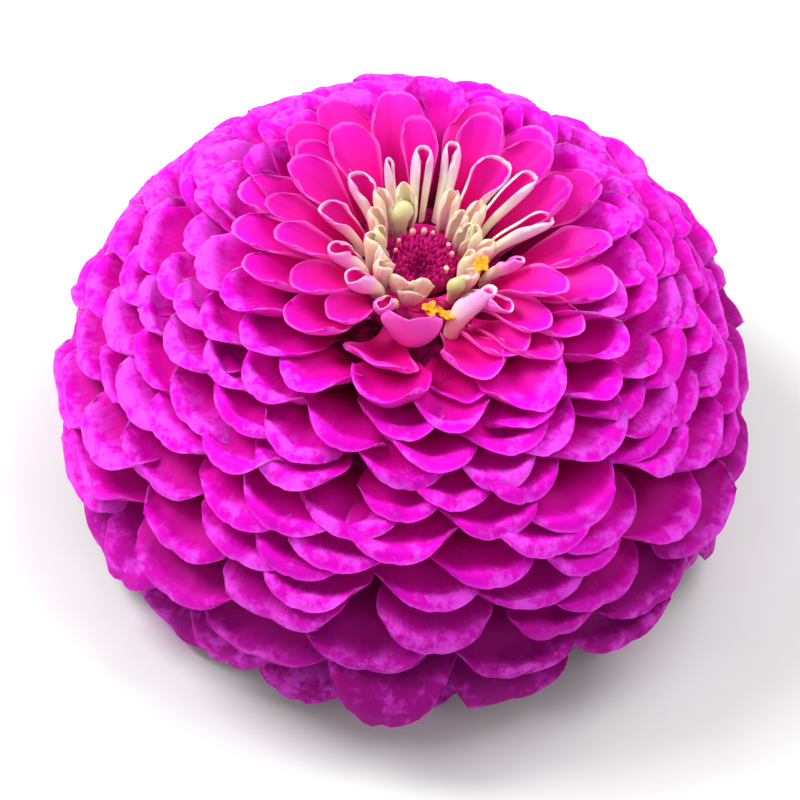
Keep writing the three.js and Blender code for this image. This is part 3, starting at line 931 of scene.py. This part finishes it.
class ZINNIA_OT_stage(bpy.types.Operator):
    """Sets the camera, the soft light and the pale floor"""

    bl_idname = "zinnia.stage"
    bl_label = "Stage"

    def execute(self, context):
        stage = context.scene.zinnia_stage
        lean = stage.elevation
        back = Vector((0, -math.cos(lean), math.sin(lean)))
        aim = Vector((stage.aim_side, 0, stage.aim_height))
        camera = bpy.data.objects.new("camera", bpy.data.cameras.new("camera"))
        context.collection.objects.link(camera)
        place = Matrix.Translation(aim + back * stage.distance)
        turn = back.to_track_quat("Z", "Y").to_matrix().to_4x4()
        camera.matrix_world = place @ turn @ Matrix.Rotation(stage.roll, 4, "Z")
        camera.data.sensor_width = SENSOR_WIDTH
        camera.data.lens = SENSOR_WIDTH * stage.distance / stage.view_width
        camera.data.clip_start = 0.01
        context.scene.camera = camera
        self.lamp(context, "key", (-0.45, 0.08, 0.53), 0.34, stage.key_power)
        self.lamp(context, "top", (0.26, 0.2, 0.7), 0.5, stage.top_power)
        self.sky(context, stage.world)
        self.floor(context)
        context.scene.view_settings.view_transform = "Standard"
        return {"FINISHED"}

    def lamp(self, context, name, place, size, energy):
        data = bpy.data.lights.new(name, "AREA")
        data.shape = "DISK"
        data.size = size
        data.energy = energy
        lamp = bpy.data.objects.new(name, data)
        context.collection.objects.link(lamp)
        lamp.location = place
        aim = Vector((0, 0, 0.03)) - Vector(place)
        lamp.rotation_euler = aim.to_track_quat("-Z", "Y").to_euler()

    def sky(self, context, strength):
        world = bpy.data.worlds.new("soft_sky")
        world.use_nodes = True
        background = world.node_tree.nodes["Background"]
        background.inputs["Color"].default_value = (1, 1, 1, 1)
        background.inputs["Strength"].default_value = strength
        context.scene.world = world

    def floor(self, context):
        rest()
        bpy.ops.mesh.primitive_grid_add(
            x_subdivisions=8, y_subdivisions=8, size=FLOOR_SIDE, location=(0, 0, 0)
        )
        floor = context.object
        floor.name = "floor"
        tint = context.scene.zinnia_colours.floor
        paper = plain_finish("floor_paper", darker(tint, 0.97), tint, 30, rough=0.8, depth=0.02 * MM)
        floor.data.materials.append(paper)
        rest()


class ZINNIA_OT_stem(bpy.types.Operator):
    """Models the short cut stem, ribbed, with its pale cut face"""

    bl_idname = "zinnia.stem"
    bl_label = "Stem"

    def execute(self, context):
        outline = [
            (0.9, 0.5), (1.15, 0.02), (2.3, 0), (STEM_RADIUS, 0.22), (STEM_RADIUS, 1.2), (2.75, 2.3),
            (2.95, STEM_LENGTH),
        ]
        stem = turned("stem", metres(outline), ROUND)
        x, y, z = vertices_of(stem.data).T
        around = np.arctan2(y, x)
        out = np.hypot(x, y)
        ribbed = 1 + 0.03 * np.cos(STEM_RIBS * around) * (out > 2.4 * MM)
        set_vertices(stem.data, np.column_stack([x * ribbed, y * ribbed, z]))
        work_on(stem)
        bpy.ops.object.shade_smooth_by_angle(angle=40 * DEGREE)
        hand_over(stem, "stem_green", stem_finish(context.scene.zinnia_colours), "stem")
        return {"FINISHED"}


def cup_radius(z):
    radii, heights = zip(*CUP)
    return float(np.interp(z, heights, radii))


class ZINNIA_OT_involucre(bpy.types.Operator):
    """Models the green cup under the bloom and its overlapping scales"""

    bl_idname = "zinnia.involucre"
    bl_label = "Involucre"

    def execute(self, context):
        colours = context.scene.zinnia_colours
        cup = turned("involucre_cup", metres((r - 0.1, z) for r, z in CUP), ROUND)
        work_on(cup)
        bpy.ops.object.shade_smooth_by_angle(angle=SMOOTH_ANGLE)
        green = colours.scale_green
        skin = plain_finish("cup_skin", darker(green, 0.45), green, 900, shine=0.3)
        hand_over(cup, "involucre_green", skin, "involucre")
        blank = petal_blank(10, 10, 0.75, 0.45, 0.8, 0.5, crowd=1.1, notch=0)
        copies = []
        for row, (root_z, tip_z) in enumerate(SCALE_ROWS):
            for k in range(SCALES_PER_ROW):
                n = SCALE_SEED + SCALES_PER_ROW * row + k
                top = tip_z + 0.2 * draw(n, 51)
                root = (cup_radius(root_z) - 0.2, root_z)
                tip = (cup_radius(top) + 0.35 + 0.1 * draw(n, 52), top)
                root, tip = metres((root, tip))
                rise = math.degrees(math.atan2(tip[1] - root[1], tip[0] - root[0]))
                rib = midrib(root, tip, rise - 12, rise + 14, lead=0.2 * MM)
                azimuth = 2 * math.pi * (k + 0.5 * (row % 2)) / SCALES_PER_ROW
                width = 2 * math.pi * cup_radius(top) / SCALES_PER_ROW * 1.22
                shape = Shape(
                    azimuth=azimuth + 0.03 * draw(n, 53), width=width * MM, thickness=0.35 * MM,
                    arch=0.12 * MM, fold=0.03 * MM, wave=0.08 * MM,
                )
                copies.append(bend(blank, rib, shape, n, (row / 3, draw(n, 54), 10 * draw(n, 55))))
        drop(blank.obj)
        scales = flip_outwards(join("involucre_scales", copies))
        hand_over(scales, "involucre_green", scale_finish(colours), "involucre")
        return {"FINISHED"}


class ZINNIA_OT_core(bpy.types.Operator):
    """Models the core that the outer petals grow from"""

    bl_idname = "zinnia.core"
    bl_label = "Core"

    def execute(self, context):
        tint = context.scene.zinnia_colours.petal_root_shade
        core = turned("receptacle", metres(CORE_OUTLINE), ROUND)
        bpy.ops.object.shade_smooth()
        # The core's dark mottle is painted shade, filling the gaps between the petals with dark colour.
        deep, pale = darker(tint, 0.2), darker(tint, 0.7)
        skin = plain_finish("receptacle_skin", deep, pale, 500, rough=0.8, shine=0.1)
        hand_over(core, "outer_petal", skin, "outer_petals")
        return {"FINISHED"}


class ZINNIA_OT_outer_petals(bpy.types.Operator):
    """Models one outer petal and bends its copies into the dome's tiers"""

    bl_idname = "zinnia.outer_petals"
    bl_label = "Outer petals"

    def execute(self, context):
        form = context.scene.zinnia_form
        skin = outer_finish(context.scene.zinnia_colours)
        blank = petal_blank(14, 20, 0.34, 0.74, 0.88, 0.29, crowd=1.5)
        per_tier = OUTER_COUNT // TIERS
        for tier in range(TIERS):
            numbers = range(tier * per_tier, (tier + 1) * per_tier)
            piece = join(f"outer_petals_{tier + 1}", [outer_petal(blank, i, form) for i in numbers])
            hand_over(piece, "outer_petal", skin, "outer_petals")
        drop(blank.obj)
        return {"FINISHED"}


class ZINNIA_OT_crown(bpy.types.Operator):
    """Models the upright crown: folded quills, spoons and tongues, and the ring that they grow from"""

    bl_idname = "zinnia.crown"
    bl_label = "Crown"

    def execute(self, context):
        colours = context.scene.zinnia_colours
        quill_skin, petal_skin = crown_finish(colours, True), crown_finish(colours, False)
        blanks = (
            petal_blank(14, 20, 0.56, 0.74, 0.86, 0.22, notch=0.01),
            petal_blank(14, 20, 0.42, 0.76, 0.88, 0.3),
            petal_blank(14, 20, 0.36, 0.74, 0.84, 0.32),
        )
        for ring, (row, blank) in enumerate(zip(CROWN_RINGS, blanks)):
            piece = join(row["name"], [crown_petal(blank, ring, i) for i in range(len(row["degrees"]))])
            hand_over(piece, "crown_petal", petal_skin if ring else quill_skin, "crown_petals")
            drop(blank.obj)
        bed = ring_body("crown_bed", metres(CROWN_BED), ROUND)
        # The bed is darker than the petals' root colour: painted shade deep in the crown.
        deep, pale = darker(colours.petal_root_shade, 0.3), darker(colours.petal_root_shade, 0.9)
        skin = plain_finish("crown_bed_skin", deep, pale, 700, rough=0.7, shine=0.15)
        hand_over(bed, "crown_petal", skin, "crown_petals")
        return {"FINISHED"}


class ZINNIA_OT_young_rays(bpy.types.Operator):
    """Models the cream young rays round the disc and the open yellow florets among them"""

    bl_idname = "zinnia.young_rays"
    bl_label = "Young rays"

    def execute(self, context):
        colours = context.scene.zinnia_colours
        outline = [(0.6, 0), (0.62, 0.25), (0.8, 0.45), (1.1, 0.62), (1.25, 0.76), (1.1, 0.88)]
        bulb = turned("bulb", [*outline, (0.7, 0.96), (0.3, 1)], 12)
        leaf = petal_blank(10, 16, 0.62, 0.66, 0.8, 0.22, crowd=1.2, notch=0.05)
        pointed = petal_blank(10, 16, 0.6, 0.5, 0.62, 0.42, crowd=1.2, notch=0)
        rays = []
        for i, (kind, degrees, tip_r, tip_z, width, furl, green, pink) in enumerate(YOUNG_RAYS):
            azimuth = degrees * DEGREE
            root = (YOUNG_INNER_ROOT if tip_r < YOUNG_INSIDE else YOUNG_OUTER_ROOT, YOUNG_ROOT_Z)
            arrive = np.clip(98 - 13 * (tip_r - 6.6), 60, 98)
            rib = midrib(*metres((root, (tip_r, tip_z))), 86, arrive, lead=0.3 * MM)
            traits = (green, pink, 10 * draw(i, 63))
            if kind == "bulb":
                rays.append(bend_tube(bulb, rib, azimuth, width * 0.4 * MM, 0.85, 0.2 * MM, traits))
                continue
            shape = Shape(
                azimuth=azimuth,
                width=width * 1.15 * MM,
                thickness=(0.5 if furl < 2 else 0.7) * MM,
                roll=0.2 * draw(i, 67) * MM,
                furl=(min(4.6, furl + 1.4), furl + 0.3 * draw(i, 66)),
                sway=0.08 * draw(i, 68),
            )
            rays.append(bend(pointed if kind == "pointed" else leaf, rib, shape, i + YOUNG_SEED, traits))
        for blank in (bulb, leaf.obj, pointed.obj):
            drop(blank)
        piece = flip_outwards(join("young_rays", rays))
        hand_over(piece, "young_ray_cream", young_finish(colours), "young_rays")
        bed = ring_body("young_ray_bed", metres(YOUNG_BED), SMALL_ROUND)
        deep, pale = colours.crown_deep, colours.bead
        skin = plain_finish("young_bed_skin", deep, pale, 900, 0.5, 0.9, rough=0.7, shine=0.15)
        hand_over(bed, "young_ray_cream", skin, "young_rays")
        self.open_florets(colours)
        return {"FINISHED"}

    def open_florets(self, colours):
        """Yellow stars of five lobes on short tubes. Lobes are bent high up, where no floor flattens them."""
        high = np.array((0, 0, 1.0))
        tube = turned("tube", [(1, 0), (0.85, 0.4), (0.9, 0.8), (1.15, 1)], 10)
        lobe = petal_blank(6, 8, 0.8, 0.4, 0.8, 0.4, crowd=1, notch=0)
        copies = []
        for n, (degrees, r, z) in enumerate(OPEN_FLORETS):
            azimuth = degrees * DEGREE
            rib = midrib(*metres(((OPEN_ROOT, YOUNG_ROOT_Z), (r, z + 0.2))), 70, 85)
            copies.append(bend_tube(tube, rib, azimuth, 0.45 * MM, traits=(0, 0, n)))
            centre = Vector((r * math.cos(azimuth), r * math.sin(azimuth), z)) * MM
            for k in range(LOBES):
                m = LOBES * n + k
                tip = (1 + 0.5 * draw(m, 79), 0.7 + 0.5 * draw(m, 77))
                arm = midrib(*metres(((0.2, 0), tip)), 70, -20, lead=0.2 * MM)
                shape = Shape(
                    azimuth=2 * math.pi * (k + 0.3 * n) / LOBES,
                    width=(1.2 + 0.3 * draw(m, 80)) * MM,
                    thickness=0.3 * MM,
                    furl=(1.2, -0.8),
                    sway=0.4 * draw(m, 78),
                )
                obj = bend(lobe, arm._replace(z=arm.z + high[2]), shape, n + LOBE_SEED, (0, 0, n))
                set_vertices(obj.data, vertices_of(obj.data) + np.array(centre) - high)
                copies.append(obj)
        drop(tube)
        drop(lobe.obj)
        piece = flip_outwards(join("open_florets", copies))
        yellow = colours.yellow
        skin = plain_finish("open_floret_skin", darker(yellow, 0.75), yellow, 2500, shine=0.3)
        hand_over(piece, "young_ray_cream", skin, "young_rays")


def disc_surface(x, y):
    """How high the disc's florets reach at a place, and how far that place is in the pit, from 0 to 1."""
    pit = np.exp(-((x - PIT_X) ** 2 + (y - PIT_Y) ** 2) / PIT_RADIUS**2)
    return DISC_TOP - 0.35 * MM - 0.9 * MM * (np.hypot(x, y) / DISC_RADIUS) ** 4 - DISC_PIT * pit, pit


class ZINNIA_OT_disc(bpy.types.Operator):
    """Models the disc of packed dark florets and the ring of pale buds on its rim"""

    bl_idname = "zinnia.disc"
    bl_label = "Disc"

    def execute(self, context):
        colours = context.scene.zinnia_colours
        base = DECK_Z + 0.4 * MM
        top = DISC_TOP - 1.1 * MM
        rings = [(r * MM, top) for r in (4.4, 3.8, 3.2, 2.6, 2, 1.4, 0.8, 0.3)]
        body = turned("disc_body", [(4.7 * MM, base), (4.8 * MM, top - 1 * MM), *rings], SMALL_ROUND)
        places = vertices_of(body.data)
        upper = places[:, 2] > top - 0.5 * MM
        places[upper, 2] = disc_surface(places[upper, 0], places[upper, 1])[0] - 0.8 * MM
        set_vertices(body.data, places)
        work_on(body)
        bpy.ops.object.shade_smooth()
        dark = colours.disc_dark
        skin = plain_finish("disc_bed_skin", darker(dark, 0.6), dark, 1500, rough=0.7, shine=0.2)
        hand_over(body, "disc_floret", skin, "disc")
        grain = turned("grain", [(0.7, 0), (1, 0.4), (0.9, 0.7), (0.55, 0.9), (0.2, 1)], 6)
        florets = []
        for i in range(DISC_FLORETS):
            out = math.sqrt((i + 0.5) / DISC_FLORETS)
            r = out * DISC_RADIUS
            azimuth = i * GOLDEN_TURN + 0.2 * draw(i, 74)
            rise, pit = disc_surface(r * math.cos(azimuth), r * math.sin(azimuth))
            rise += 0.25 * MM * draw(i, 71)
            lean = 0.3 * draw(i, 73) * MM
            rib = midrib((r, rise - 1.5 * MM), (r + lean, rise), 90, 90 - 35 * out)
            radius = 0.28 * (1 + 0.3 * draw(i, 75)) * MM
            florets.append(bend_tube(grain, rib, azimuth, radius, traits=(pit, draw(i, 72), 0)))
        drop(grain)
        piece = flip_outwards(join("disc_florets", florets))
        hand_over(piece, "disc_floret", disc_finish(colours), "disc")
        bead = turned("bead", [(0.7, 0), (0.75, 0.4), (0.9, 0.62), (1, 0.8), (0.8, 0.94), (0.3, 1)], 8)
        beads = []
        for i, degrees in enumerate(BEADS):
            azimuth = degrees * DEGREE
            top = BEAD_TOP + 0.3 * math.sin(azimuth) + 0.2 * draw(i, 11)
            rib = midrib(*metres(((BEAD_RING, BEAD_ROOT_Z), (BEAD_RING, top))), 90, 90)
            radius = (0.38 + 0.1 * draw(i, 76)) * MM
            beads.append(bend_tube(bead, rib, azimuth, radius, traits=(0.25, 0, i)))
        drop(bead)
        piece = flip_outwards(join("disc_buds", beads))
        skin = plain_finish("bead_skin", colours.bead, colours.cream, 500, 0.45, 0.75, shine=0.3)
        hand_over(piece, "disc_floret", skin, "disc")
        return {"FINISHED"}


class ZINNIA_PT_panel(bpy.types.Panel):
    """Lists the bloom's settings and pieces"""

    bl_idname = "ZINNIA_PT_panel"
    bl_label = "Zinnia bloom"
    bl_space_type = "VIEW_3D"
    bl_region_type = "UI"
    bl_category = "Zinnia"

    def draw(self, context):
        for group in (context.scene.zinnia_stage, context.scene.zinnia_form, context.scene.zinnia_colours):
            box = self.layout.box()
            for name in group.__annotations__:
                box.prop(group, name)
        for operator in OPERATORS:
            self.layout.operator(operator.bl_idname)


OPERATORS = (
    ZINNIA_OT_stage, ZINNIA_OT_stem, ZINNIA_OT_involucre, ZINNIA_OT_core, ZINNIA_OT_outer_petals,
    ZINNIA_OT_crown, ZINNIA_OT_young_rays, ZINNIA_OT_disc,
)
GROUPS = {"zinnia_form": BloomForm, "zinnia_colours": BloomColours, "zinnia_stage": StageForm}
CLASSES = (*GROUPS.values(), *OPERATORS, ZINNIA_PT_panel)


def register():
    for item in CLASSES:
        bpy.utils.register_class(item)
    for name, group in GROUPS.items():
        setattr(bpy.types.Scene, name, PointerProperty(type=group))


def unregister():
    for name in GROUPS:
        delattr(bpy.types.Scene, name)
    for item in reversed(CLASSES):
        bpy.utils.unregister_class(item)


def main():
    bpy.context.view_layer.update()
    register()
    for operator in OPERATORS:
        family, name = operator.bl_idname.split(".")
        getattr(getattr(bpy.ops, family), name)()


if __name__ == "__main__":
    main()
